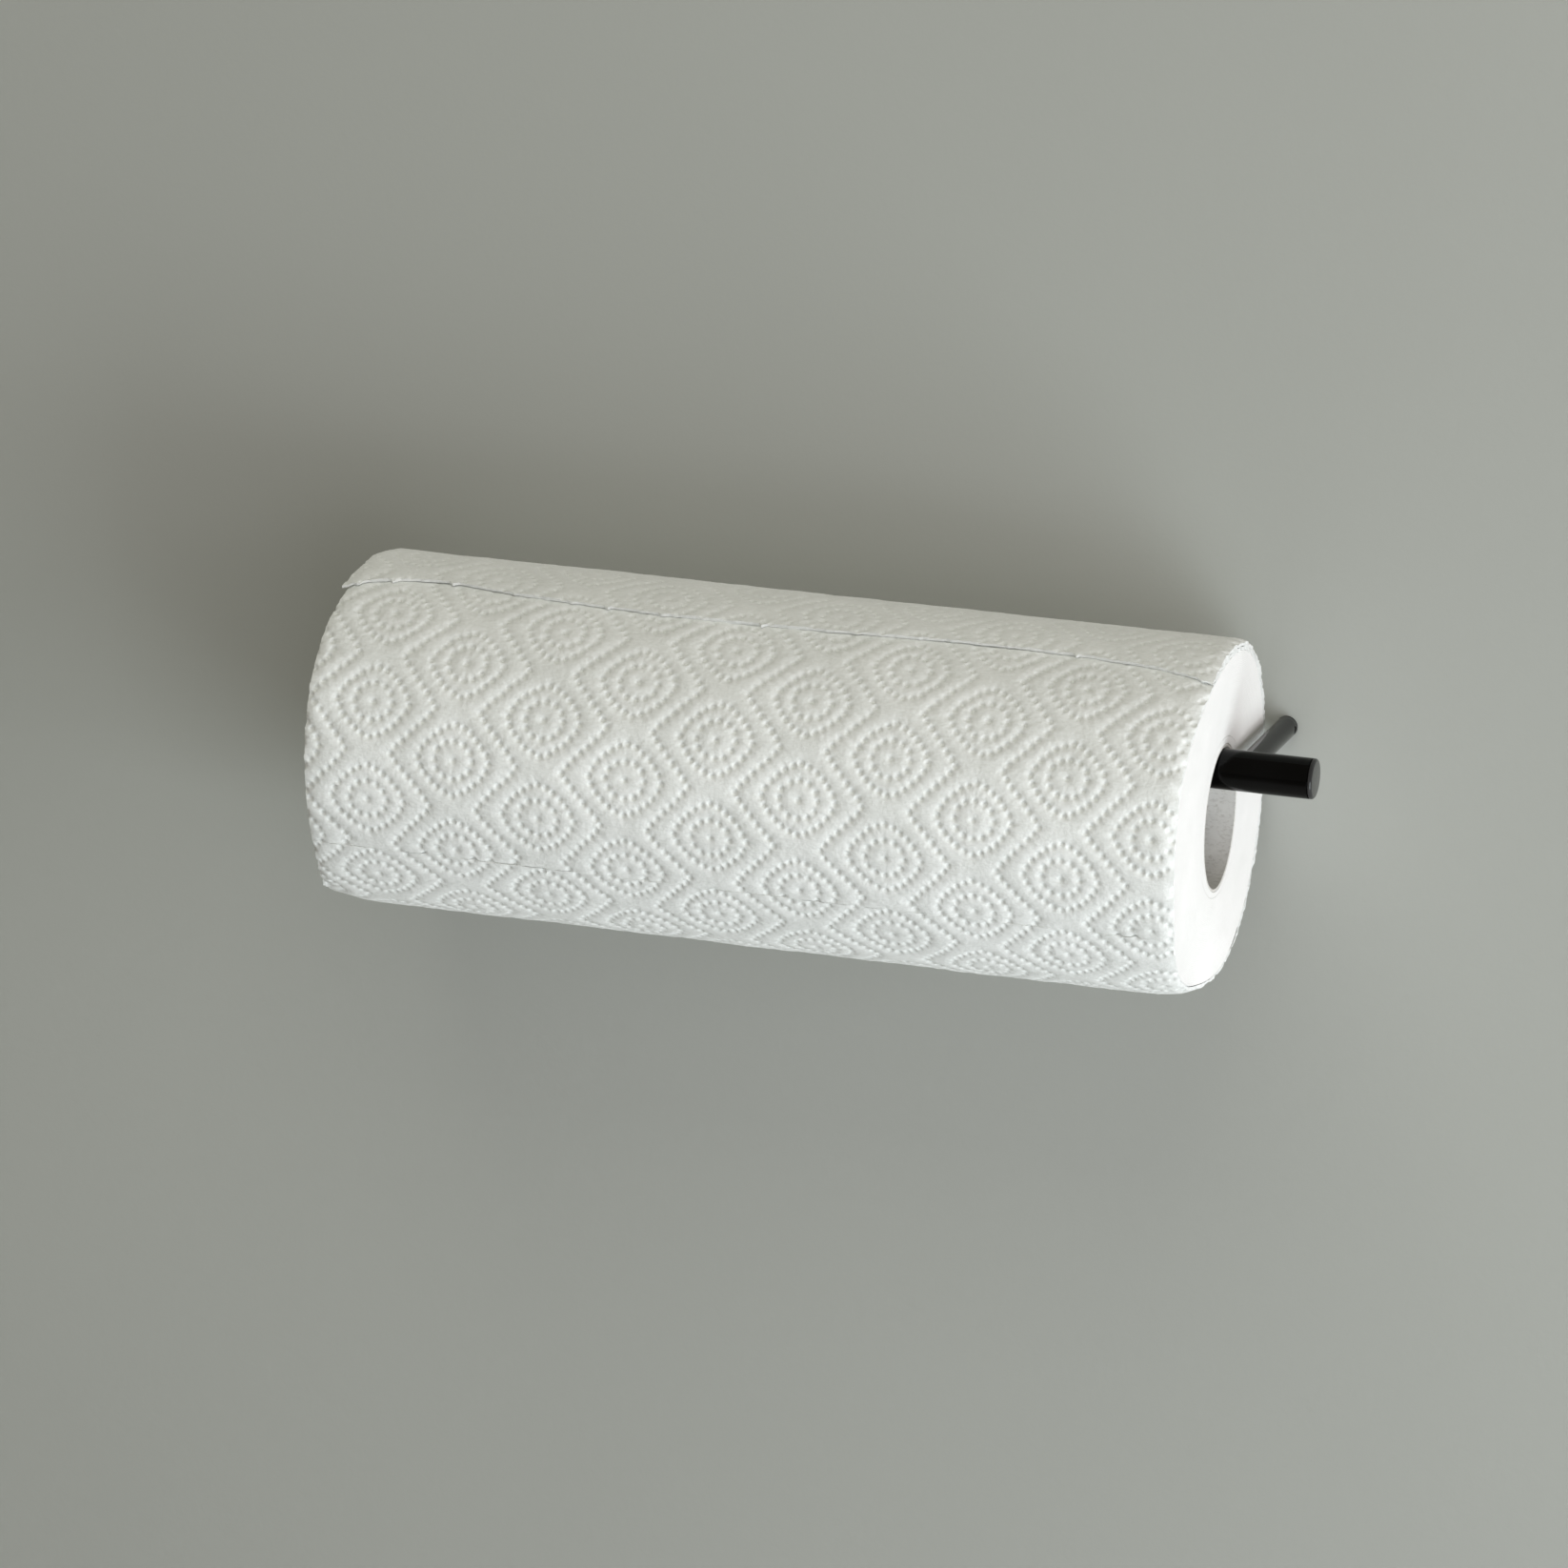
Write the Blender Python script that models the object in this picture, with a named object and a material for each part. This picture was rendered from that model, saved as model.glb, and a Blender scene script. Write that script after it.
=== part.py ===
"""Wall-mounted paper towel holder: one arm, one open-ended rail, and the roll that hangs on it.

Metres, +Z up. The origin is on the wall, at the arm's axis. +X runs along the rail towards
its short end, +Y runs into the wall, so the roll is in front of the wall at negative Y.
"""

import math

import bmesh
import bpy
from mathutils import Matrix, Vector

# ---------------------------------------------------------------- driving dimensions
GAP = 0.0003                  # between pieces that touch

RAIL_RADIUS = 0.00635         # half-inch tube
RAIL_WALL = 0.0012
RAIL_STANDOFF = 0.058         # wall to the rail's axis
RAIL_SHORT_END = 0.0233       # rail past the arm, on the right
RAIL_FREE_END = -0.293        # open end, where a roll goes on

PLUG_FLANGE = 0.0012
PLUG_SPIGOT = 0.0075
PLUG_FILLET = 0.0009

ARM_RADIUS = 0.0035
JOINT_STUD_RADIUS = 0.0020
JOINT_STUD_IN_ARM = 0.0120    # how far the stud reaches behind the rail
INSERT_LENGTH = 0.0160

WASHER_THICKNESS = 0.0008
WALL_STUD_RADIUS = 0.0016     # plain end, inside the arm
WALL_STUD_IN_ARM = 0.0170
SCREW_RADIUS = 0.0015         # threaded end, inside the wall plug
SCREW_LENGTH = 0.0280
SCREW_POINT = 0.0050
PLUG_LENGTH = 0.0300          # a 5 x 30 mm plug
PLUG_RADIUS = 0.0025
PLUG_BARBS = 5
GRUB_RADIUS = 0.0009
GRUB_FROM_WALL = 0.0032

ROLL_LENGTH = 0.279           # eleven inches
ROLL_TO_ARM = 0.0025          # roll's right face to the arm's side
CORE_BORE_RADIUS = 0.0220
CORE_WALL = 0.0010
WINDING_RADIUS = 0.0542
SHEET_THICKNESS = 0.0005
TAIL_ANGLE = 66.0             # last sheet's free edge, in degrees above the front
PERFORATION_ANGLE = -29.7     # where the last sheet joins the next one
TAIL_LIFT = 0.0010            # how far the free edge stands off
TAIL_LIFT_SPAN = 25.0         # degrees over which it lifts
OVERLAP_SPAN = 14.0           # degrees in which the last sheet steps down to the winding

ROUND_STEPS = 48              # facets round the rail
SMALL_STEPS = 24              # facets round the small fasteners
ROLL_STEPS = 96               # facets round the roll

# ---------------------------------------------------------------- derived places
RAIL_Y = -RAIL_STANDOFF
ROLL_RIGHT = -(ARM_RADIUS + ROLL_TO_ARM)
ROLL_LEFT = ROLL_RIGHT - ROLL_LENGTH
ROLL_AXIS = Vector((0, RAIL_Y, RAIL_RADIUS + GAP - CORE_BORE_RADIUS))
CORE_RADIUS = CORE_BORE_RADIUS + CORE_WALL
NEXT_SHEET_RADIUS = WINDING_RADIUS + GAP
LAST_SHEET_RADIUS = NEXT_SHEET_RADIUS + SHEET_THICKNESS + GAP
SHEET_TURN = 360.0 - (TAIL_ANGLE - PERFORATION_ANGLE)
NEXT_SHEET_END = PERFORATION_ANGLE + SHEET_TURN
RAIL_BORE_RADIUS = RAIL_RADIUS - RAIL_WALL


def clear_scene():
    for old in list(bpy.data.objects):
        bpy.data.objects.remove(old)


# ---------------------------------------------------------------- materials
def material(name, colour, roughness, metallic=0.0, coat=0.0):
    made = bpy.data.materials.new(name)
    made.use_nodes = True
    shader = made.node_tree.nodes["Principled BSDF"]
    shader.inputs["Base Color"].default_value = (*colour, 1.0)
    shader.inputs["Roughness"].default_value = roughness
    shader.inputs["Metallic"].default_value = metallic
    shader.inputs["Coat Weight"].default_value = coat
    return made


def make_materials():
    return {
        "black": material("gloss_black", (0.012, 0.012, 0.013), 0.12, coat=0.6),
        "steel": material("zinc_steel", (0.62, 0.62, 0.60), 0.32, metallic=1.0),
        "rubber": material("black_rubber", (0.02, 0.02, 0.02), 0.70),
        "nylon": material("grey_nylon", (0.55, 0.56, 0.56), 0.50),
        "card": material("core_card", (0.66, 0.64, 0.60), 0.90),
        "paper": material("towel_paper", (0.86, 0.87, 0.85), 0.95),
    }


# ---------------------------------------------------------------- shapes
def finish_object(name, mesh_data, paint, parent=None, sharp_angle=35.0):
    bmesh.ops.recalc_face_normals(mesh_data, faces=mesh_data.faces)
    mesh = bpy.data.meshes.new(name)
    mesh_data.to_mesh(mesh)
    mesh_data.free()
    mesh.materials.append(paint)
    mesh.shade_smooth()
    mesh.set_sharp_from_angle(angle=math.radians(sharp_angle))
    made = bpy.data.objects.new(name, mesh)
    made.parent = parent
    bpy.context.scene.collection.objects.link(made)
    return made


def turn_axis(axis):
    """Rotation that lays a shape turned about +X along the given axis."""
    return Vector((1, 0, 0)).rotation_difference(Vector(axis)).to_matrix().to_4x4()


def turned(name, profile, paint, place, axis=(1, 0, 0), steps=SMALL_STEPS, parent=None):
    """A solid of revolution. The profile is (distance along the axis, radius) points.

    It starts and ends on the axis for a solid piece, or else closes on itself as a ring.
    """
    data = bmesh.new()
    rings = []
    for along, radius in profile:
        if radius == 0:
            rings.append([data.verts.new((along, 0, 0))])
            continue
        angles = [2 * math.pi * (i + 0.5) / steps for i in range(steps)]
        rings.append([data.verts.new((along, radius * math.cos(a), radius * math.sin(a)))
                      for a in angles])
    pairs = list(zip(rings, rings[1:]))
    if len(rings[0]) > 1:
        pairs.append((rings[-1], rings[0]))
    for first, second in pairs:
        for i in range(steps):
            j = (i + 1) % steps
            corners = [first[i % len(first)], first[j % len(first)],
                       second[j % len(second)], second[i % len(second)]]
            distinct = list(dict.fromkeys(corners))
            if len(distinct) > 2:
                data.faces.new(distinct)
    data.transform(turn_axis(axis))
    made = finish_object(name, data, paint, parent)
    made.location = place
    return made


def ring_profile(start, end, inner, outer):
    return [(start, inner), (start, outer), (end, outer), (end, inner)]


def rounded_corner(along, radius, fillet, start, end, points=5):
    """Points of a fillet centred at (along, radius), from one angle to the other."""
    angles = [math.radians(start + (end - start) * i / (points - 1)) for i in range(points)]
    return [(along + fillet * math.cos(a), radius + fillet * math.sin(a)) for a in angles]


def cut(target, name, profile, place, axis):
    """Removes a turned shape from the target."""
    cutter = turned(name, profile, target.data.materials[0], place, axis)
    cutter.hide_render = True
    cutter.display_type = "WIRE"
    boolean = target.modifiers.new(name, "BOOLEAN")
    boolean.operation = "DIFFERENCE"
    boolean.solver = "EXACT"
    boolean.object = cutter


def drill(target, name, radius, start, end, place, axis):
    cut(target, name, [(start, 0), (start, radius), (end, radius), (end, 0)], place, axis)


# ---------------------------------------------------------------- the holder
def make_rail(paint):
    """Tube with a hole in its back for the stud that joins it to the arm."""
    profile = ring_profile(RAIL_FREE_END + PLUG_FLANGE + GAP,
                           RAIL_SHORT_END - PLUG_FLANGE - GAP,
                           RAIL_BORE_RADIUS, RAIL_RADIUS)
    tube = turned("rail_tube", profile, paint, (0, RAIL_Y, 0), steps=ROUND_STEPS)
    drill(tube, "rail_hole_cutter", JOINT_STUD_RADIUS + GAP, 0, 2 * RAIL_RADIUS,
          (0, RAIL_Y, 0), (0, 1, 0))


def make_end_plug(name, end, outward, paint):
    """Pressed-in plug: a flange as wide as the tube, with a rounded rim, and a spigot."""
    spigot_radius = RAIL_BORE_RADIUS - GAP
    inner_end = -PLUG_FLANGE - PLUG_SPIGOT
    rim = rounded_corner(-PLUG_FILLET, RAIL_RADIUS - PLUG_FILLET, PLUG_FILLET, 0, 90)
    profile = [(0, 0), *rim, (-PLUG_FLANGE, RAIL_RADIUS), (-PLUG_FLANGE, spigot_radius),
               (inner_end + GAP, spigot_radius), (inner_end, spigot_radius - GAP),
               (inner_end, 0)]
    turned(name, profile, paint, (end, RAIL_Y, 0), (outward, 0, 0), steps=ROUND_STEPS)


def make_insert(paint):
    """Slug inside the tube, with the tapped hole that takes the stud."""
    half = INSERT_LENGTH / 2
    radius = RAIL_BORE_RADIUS - GAP
    profile = [(-half, 0), (-half, radius), (half, radius), (half, 0)]
    slug = turned("rail_insert", profile, paint, (0, RAIL_Y, 0), steps=ROUND_STEPS)
    drill(slug, "insert_hole_cutter", JOINT_STUD_RADIUS + GAP, -RAIL_RADIUS, RAIL_RADIUS,
          (0, RAIL_Y, 0), (0, 1, 0))


def make_joint_stud(paint):
    """Threaded stud from the insert, through the tube's back, into the arm."""
    front = RAIL_Y - RAIL_BORE_RADIUS / 2
    back = RAIL_Y + RAIL_RADIUS + JOINT_STUD_IN_ARM
    narrow = JOINT_STUD_RADIUS - GAP
    profile = [(front, 0), (front, narrow), (front + GAP, JOINT_STUD_RADIUS),
               (back - GAP, JOINT_STUD_RADIUS), (back, narrow), (back, 0)]
    turned("joint_stud", profile, paint, (0, 0, 0), (0, 1, 0))


def make_arm(paint):
    """Bar from the rail to the wall: saddled to the tube, and bored at both ends."""
    stud_bore = JOINT_STUD_RADIUS + GAP
    stud_bore_end = RAIL_Y + RAIL_RADIUS + JOINT_STUD_IN_ARM + GAP
    wall_bore = WALL_STUD_RADIUS + GAP
    wall_bore_end = -WALL_STUD_IN_ARM - GAP
    front = RAIL_Y + RAIL_RADIUS - 2 * WASHER_THICKNESS
    back = -WASHER_THICKNESS - GAP
    profile = [(stud_bore_end, 0), (stud_bore_end, stud_bore), (front, stud_bore),
               (front, ARM_RADIUS), (back - GAP, ARM_RADIUS), (back, ARM_RADIUS - GAP),
               (back, wall_bore), (wall_bore_end, wall_bore), (wall_bore_end, 0)]
    arm = turned("arm", profile, paint, (0, 0, 0), (0, 1, 0), steps=32)
    drill(arm, "saddle_cutter", RAIL_RADIUS + GAP, -2 * ARM_RADIUS, 2 * ARM_RADIUS,
          (0, RAIL_Y, 0), (1, 0, 0))
    drill(arm, "grub_hole_cutter", GRUB_RADIUS + GAP, 0, 2 * ARM_RADIUS,
          (0, -GRUB_FROM_WALL, 0), (1, 0, 0))


def make_grub_screw(paint):
    """Set screw in the arm's side, with its socket facing out."""
    inner = WALL_STUD_RADIUS + GAP
    outer = ARM_RADIUS - GAP
    socket = GRUB_RADIUS / 2
    floor = outer - socket
    profile = [(inner, 0), (inner, GRUB_RADIUS - GAP), (inner + GAP, GRUB_RADIUS),
               (outer, GRUB_RADIUS), (outer, socket), (floor, socket), (floor, 0)]
    turned("grub_screw", profile, paint, (0, -GRUB_FROM_WALL, 0), (1, 0, 0))


def make_wall_washer(paint):
    """Flat ring on the wall, round the drilled hole, so its bore clears the plug."""
    profile = ring_profile(-WASHER_THICKNESS, 0, PLUG_RADIUS + GAP, ARM_RADIUS)
    turned("wall_washer", profile, paint, (0, 0, 0), (0, 1, 0), steps=32)


def make_wall_stud(paint):
    """Hanger stud: a plain end that the grub screw clamps, and a screw for the plug."""
    front = -WALL_STUD_IN_ARM
    profile = [(front, 0), (front, WALL_STUD_RADIUS - GAP), (front + GAP, WALL_STUD_RADIUS),
               (0, WALL_STUD_RADIUS), (0, SCREW_RADIUS),
               (SCREW_LENGTH - SCREW_POINT, SCREW_RADIUS), (SCREW_LENGTH, 0)]
    turned("wall_stud", profile, paint, (0, 0, 0), (0, 1, 0))


def make_wall_plug(paint):
    """Expanding nylon plug: a bored sleeve with barbs, split along most of its length."""
    bore = SCREW_RADIUS + GAP
    barb_root = PLUG_RADIUS - GAP
    pitch = PLUG_LENGTH / (PLUG_BARBS + 1)
    profile = [(GAP, bore), (GAP, PLUG_RADIUS), (pitch, PLUG_RADIUS)]
    for barb in range(PLUG_BARBS):
        start = pitch * (barb + 1)
        profile += [(start, barb_root), (start + pitch - GAP, PLUG_RADIUS)]
    profile += [(PLUG_LENGTH, barb_root), (PLUG_LENGTH, bore)]
    plug = turned("wall_plug", profile, paint, (0, 0, 0), (0, 1, 0))

    slot_start = PLUG_LENGTH / 3
    slot = bmesh.new()
    size = Vector((4 * PLUG_RADIUS, PLUG_LENGTH, 2 * GAP))
    bmesh.ops.create_cube(slot, size=1, matrix=Matrix.Diagonal((*size, 1)))
    cutter = finish_object("plug_slot_cutter", slot, paint)
    cutter.location = (0, slot_start + size.y / 2, 0)
    cutter.hide_render = True
    cutter.display_type = "WIRE"
    boolean = plug.modifiers.new("slot", "BOOLEAN")
    boolean.operation = "DIFFERENCE"
    boolean.solver = "EXACT"
    boolean.object = cutter


# ---------------------------------------------------------------- the roll
def smooth_step(value):
    held = min(1.0, max(0.0, value))
    return held * held * (3 - 2 * held)


def last_sheet_radius(angle):
    """Inner radius of the last sheet: lifted at its free edge, over the next sheet, and
    then down on the winding."""
    lift = TAIL_LIFT * (1 - smooth_step((angle - TAIL_ANGLE) / TAIL_LIFT_SPAN))
    down = smooth_step((angle - NEXT_SHEET_END - 2) / OVERLAP_SPAN)
    return LAST_SHEET_RADIUS + lift - down * (LAST_SHEET_RADIUS - NEXT_SHEET_RADIUS)


def on_roll(x, radius, angle):
    """A point of the roll. Angles are in degrees, up from the side away from the wall."""
    turn = math.radians(angle)
    return (x, -radius * math.cos(turn), radius * math.sin(turn))


def make_sheet(name, start, end, radius_at, paint, parent):
    """One towel, wound round part of the roll, from one angle to the other."""
    data = bmesh.new()
    steps = round((end - start) * ROLL_STEPS / 360)
    stations = []
    for i in range(steps + 1):
        angle = start + (end - start) * i / steps
        inner = radius_at(angle)
        outer = inner + SHEET_THICKNESS
        stations.append([data.verts.new(on_roll(x, radius, angle)) for x, radius in
                         ((ROLL_LEFT, inner), (ROLL_RIGHT, inner),
                          (ROLL_RIGHT, outer), (ROLL_LEFT, outer))])
    for first, second in zip(stations, stations[1:]):
        for i in range(4):
            j = (i + 1) % 4
            data.faces.new((first[i], first[j], second[j], second[i]))
    data.faces.new(stations[0])
    data.faces.new(stations[-1])
    return finish_object(name, data, paint, parent)


def make_roll(card, paper):
    """Core, winding and the two outermost towels, all about the roll's own axis."""
    axis = bpy.data.objects.new("roll_axis", None)
    axis.location = ROLL_AXIS
    bpy.context.scene.collection.objects.link(axis)

    core = ring_profile(ROLL_LEFT, ROLL_RIGHT, CORE_BORE_RADIUS, CORE_RADIUS)
    turned("paper_core", core, card, (0, 0, 0), steps=ROLL_STEPS, parent=axis)
    winding = ring_profile(ROLL_LEFT, ROLL_RIGHT, CORE_RADIUS + GAP, WINDING_RADIUS)
    turned("paper_winding", winding, paper, (0, 0, 0), steps=ROLL_STEPS, parent=axis)

    slit = math.degrees(GAP / NEXT_SHEET_RADIUS) / 2
    make_sheet("next_sheet", PERFORATION_ANGLE + slit, NEXT_SHEET_END,
               lambda angle: NEXT_SHEET_RADIUS, paper, axis)
    make_sheet("last_sheet", TAIL_ANGLE, 360 + PERFORATION_ANGLE - slit,
               last_sheet_radius, paper, axis)


def main():
    clear_scene()
    paints = make_materials()
    make_rail(paints["black"])
    make_end_plug("end_plug_right", RAIL_SHORT_END, 1, paints["black"])
    make_end_plug("end_plug_left", RAIL_FREE_END, -1, paints["black"])
    make_insert(paints["steel"])
    make_joint_stud(paints["steel"])
    make_arm(paints["black"])
    make_grub_screw(paints["steel"])
    make_wall_washer(paints["rubber"])
    make_wall_stud(paints["steel"])
    make_wall_plug(paints["nylon"])
    make_roll(paints["card"], paints["paper"])


main()
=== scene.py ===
"""The looks of the wall-mounted paper towel holder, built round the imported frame.

Metres, +Z up. +X runs along the rail towards its short end and +Y into the wall. Angles round
the roll are in degrees, up from the side away from the wall: 90 is the top, -90 the bottom.
"""

import math
import random

import bmesh
import bpy
import numpy as np
from mathutils import Matrix, Vector, kdtree, noise
from mathutils.geometry import delaunay_2d_cdt


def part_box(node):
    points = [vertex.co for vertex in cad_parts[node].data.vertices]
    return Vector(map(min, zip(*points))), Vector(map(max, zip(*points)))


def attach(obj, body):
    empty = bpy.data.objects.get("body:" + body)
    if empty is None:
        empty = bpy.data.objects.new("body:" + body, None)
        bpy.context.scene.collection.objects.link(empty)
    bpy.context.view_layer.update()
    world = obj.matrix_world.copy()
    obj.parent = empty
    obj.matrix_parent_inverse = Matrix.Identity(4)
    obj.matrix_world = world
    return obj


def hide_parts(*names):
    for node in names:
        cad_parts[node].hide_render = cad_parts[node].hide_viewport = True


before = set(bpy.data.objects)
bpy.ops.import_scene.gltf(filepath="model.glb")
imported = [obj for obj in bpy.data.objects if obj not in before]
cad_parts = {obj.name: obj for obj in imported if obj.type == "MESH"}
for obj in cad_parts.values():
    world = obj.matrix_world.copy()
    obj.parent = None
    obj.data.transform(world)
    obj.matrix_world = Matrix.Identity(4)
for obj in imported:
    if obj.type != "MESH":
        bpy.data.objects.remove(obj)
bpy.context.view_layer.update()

# ---------------------------------------------------------------- places read from the frame
rail_low, rail_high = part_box("rail_tube")
arm_low, arm_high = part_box("arm")
core_low, core_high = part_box("paper_core")
washer_low, washer_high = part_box("wall_washer")
stud_low, stud_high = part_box("wall_stud")
joint_low, joint_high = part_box("joint_stud")
grub_low, grub_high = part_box("grub_screw")
right_plug_low, right_plug_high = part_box("end_plug_right")
left_plug_low, left_plug_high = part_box("end_plug_left")

GAP = 0.0003                                   # between pieces that touch, as in the frame
RAIL_RADIUS = (rail_high.z - rail_low.z) / 2
RAIL_Y = (rail_high.y + rail_low.y) / 2
RAIL_BORE = RAIL_RADIUS - 0.0012
ARM_RADIUS = (arm_high.x - arm_low.x) / 2
ROLL_LEFT, ROLL_RIGHT = core_low.x, core_high.x
ROLL_LENGTH = ROLL_RIGHT - ROLL_LEFT
ROLL_Y = (core_low.y + core_high.y) / 2
ROLL_Z = (core_low.z + core_high.z) / 2
ROLL_MIDDLE = Vector(((ROLL_LEFT + ROLL_RIGHT) / 2, ROLL_Y, ROLL_Z))

# ---------------------------------------------------------------- the roll's dimensions
PAPER = 0.0012                # thickness of a towel with its embossing
EDGE = 0.0010                 # and at its free edge, where it is pressed flatter
LOOSE = 0.00008               # air between turns
FRONT_RADIUS = 0.0554         # of the outermost paper, at the front
BULGE = 0.0019                # the roll's slack shows as a bulge, high at the back
BULGE_ANGLE = 140
SAG = 0.0018                  # how far the last towel hangs down below the roll
SAG_ANGLE = 285
BORE_HALF_WIDTH = 0.0193      # the core hangs from the rail, drawn into an oval
BORE_HALF_HEIGHT = 0.0222
BORE_Z = RAIL_RADIUS + 0.00025 - BORE_HALF_HEIGHT
CARD = 0.0009
FIRST_TURNS_RADIUS = 0.0250   # paper glued to the core, which it follows

PERFORATION = -29.7           # the angle of the line of slits
NEXT_END = 234.6              # where the next towel ends, under the last one
OVERLAP = 14                  # degrees in which the last towel steps down there
PERFORATION_PITCH = 0.0100
PERFORATION_TAB = 0.0015


# ================================================================ camera
def look_from(azimuth, elevation, roll, distance, target, lens):
    """Camera on a sphere about the target: azimuth 0 looks along +Y, 90 along -X."""
    a, e, t = (math.radians(x) for x in (azimuth, elevation, roll))
    forward = Vector((-math.sin(a) * math.cos(e), math.cos(a) * math.cos(e), -math.sin(e)))
    right = Vector((math.cos(a), math.sin(a), 0))
    up = right.cross(forward)
    right, up = (math.cos(t) * right + math.sin(t) * up,
                 math.cos(t) * up - math.sin(t) * right)
    data = bpy.data.cameras.new("camera")
    data.lens = lens
    data.sensor_width = 36
    data.clip_end = 50
    camera = bpy.data.objects.new("camera", data)
    camera.matrix_world = Matrix((right, up, -forward)).transposed().to_4x4()
    camera.location = target - forward * distance
    bpy.context.scene.collection.objects.link(camera)
    bpy.context.scene.camera = camera


look_from(azimuth=16.54, elevation=15.19, roll=2.03, distance=2.6,
          target=ROLL_MIDDLE + Vector((-0.0003, 0, -0.0052)), lens=191.84)


# ================================================================ materials
def new_material(name):
    """An empty Principled material and a function that adds nodes to it."""
    made = bpy.data.materials.new(name)
    made.use_nodes = True
    tree = made.node_tree
    shader = tree.nodes["Principled BSDF"]

    def add(kind, **values):
        node = tree.nodes.new("ShaderNode" + kind)
        for key, value in values.items():
            if hasattr(node, key):
                setattr(node, key, value)
            else:
                node.inputs[key.replace("_", " ")].default_value = value
        return node

    return made, tree, shader, add


def object_point(tree, add, stretch=(1, 1, 1)):
    """Object coordinates in metres, scaled on each axis."""
    place = add("TexCoord")
    scaled = add("Mapping")
    scaled.inputs["Scale"].default_value = stretch
    tree.links.new(place.outputs["Object"], scaled.inputs["Vector"])
    return scaled.outputs["Vector"]


def noise_at(tree, add, point, scale, detail=2.0, roughness=0.5):
    made = add("TexNoise", Scale=scale, Detail=detail, Roughness=roughness)
    tree.links.new(point, made.inputs["Vector"])
    return made.outputs["Fac"]


def ramp(tree, add, value, stops):
    """Colour ramp with (position, colour) stops."""
    made = add("ValToRGB")
    elements = made.color_ramp.elements
    while len(elements) < len(stops):
        elements.new(0.5)
    for element, (position, colour) in zip(elements, stops):
        element.position = position
        element.color = (*colour, 1)
    tree.links.new(value, made.inputs["Fac"])
    return made.outputs["Color"]


def multiplied(tree, add, first, second):
    """One colour times another."""
    made = add("Mix", data_type="RGBA", blend_type="MULTIPLY")
    colours = [socket for socket in made.inputs if socket.type == "RGBA"]
    made.inputs["Factor"].default_value = 1.0
    tree.links.new(first, colours[0])
    tree.links.new(second, colours[1])
    return next(socket for socket in made.outputs if socket.type == "RGBA")


def spread(tree, add, value, low, high):
    """Maps 0.3..0.7, where noise mostly lies, to low..high."""
    made = add("MapRange")
    for key, number in (("From Min", 0.3), ("From Max", 0.7), ("To Min", low), ("To Max", high)):
        made.inputs[key].default_value = number
    tree.links.new(value, made.inputs["Value"])
    return made.outputs["Result"]


def bump(tree, add, shader, height, distance, strength=1.0, under=None):
    made = add("Bump", Strength=strength, Distance=distance)
    tree.links.new(height, made.inputs["Height"])
    if under is not None:
        tree.links.new(under, made.inputs["Normal"])
    tree.links.new(made.outputs["Normal"], shader.inputs["Normal"])
    return made.outputs["Normal"]


def gloss_black(name, dark, light, gloss):
    """Gloss powder coat: nearly black, with a faint orange peel."""
    made, tree, shader, add = new_material(name)
    point = object_point(tree, add)
    blotches = noise_at(tree, add, point, 60, 3)
    stops = [(0.3, (dark, dark, dark * 1.04)), (0.7, (light, light, light * 1.03))]
    tree.links.new(ramp(tree, add, blotches, stops), shader.inputs["Base Color"])
    tree.links.new(spread(tree, add, blotches, 0.06, 0.12), shader.inputs["Roughness"])
    shader.inputs["Specular IOR Level"].default_value = gloss
    bump(tree, add, shader, noise_at(tree, add, point, 700, 1.5), 0.000006)
    return made


def brushed_metal(name, dark, light, rough, grain):
    """Turned or plated steel, with fine lines across the given axis."""
    made, tree, shader, add = new_material(name)
    lines = noise_at(tree, add, object_point(tree, add, grain), 1, 3)
    blotches = noise_at(tree, add, object_point(tree, add), 180, 3)
    tree.links.new(ramp(tree, add, blotches, [(0.3, dark), (0.7, light)]), shader.inputs["Base Color"])
    tree.links.new(spread(tree, add, lines, rough * 0.8, rough * 1.3), shader.inputs["Roughness"])
    shader.inputs["Metallic"].default_value = 1.0
    bump(tree, add, shader, lines, 0.00001)
    return made


def soft_plastic(name, dark, light, rough, grain):
    """Moulded nylon or rubber: mottled, with a fine eroded surface."""
    made, tree, shader, add = new_material(name)
    point = object_point(tree, add)
    blotches = noise_at(tree, add, point, grain / 6, 3)
    tree.links.new(ramp(tree, add, blotches, [(0.3, dark), (0.7, light)]), shader.inputs["Base Color"])
    tree.links.new(spread(tree, add, blotches, rough * 0.9, rough * 1.1), shader.inputs["Roughness"])
    bump(tree, add, shader, noise_at(tree, add, point, grain, 4), 0.00003)
    return made


def towel_paper():
    """Creped tissue: matt white, with crepe lines along the roll and loose fibres."""
    made, tree, shader, add = new_material("towel_paper")
    point = object_point(tree, add)
    along = object_point(tree, add, (0.35, 1, 1))
    clouds = noise_at(tree, add, point, 45, 4, 0.6)
    fibres = noise_at(tree, add, along, 1500, 4, 0.65)
    tint = ramp(tree, add, clouds, [(0.3, (0.785, 0.806, 0.792)), (0.7, (0.848, 0.868, 0.858))])
    fleck = ramp(tree, add, fibres, [(0.25, (0.90, 0.90, 0.89)), (0.6, (1, 1, 1))])
    tree.links.new(multiplied(tree, add, tint, fleck), shader.inputs["Base Color"])
    tree.links.new(spread(tree, add, fibres, 0.86, 1.0), shader.inputs["Roughness"])
    shader.inputs["Specular IOR Level"].default_value = 0.25
    shader.inputs["Sheen Weight"].default_value = 0.12
    shader.inputs["Sheen Roughness"].default_value = 0.6
    crumple = bump(tree, add, shader, noise_at(tree, add, point, 480, 3, 0.6), 0.00030)
    bump(tree, add, shader, fibres, 0.00016, under=crumple)
    return made


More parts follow.
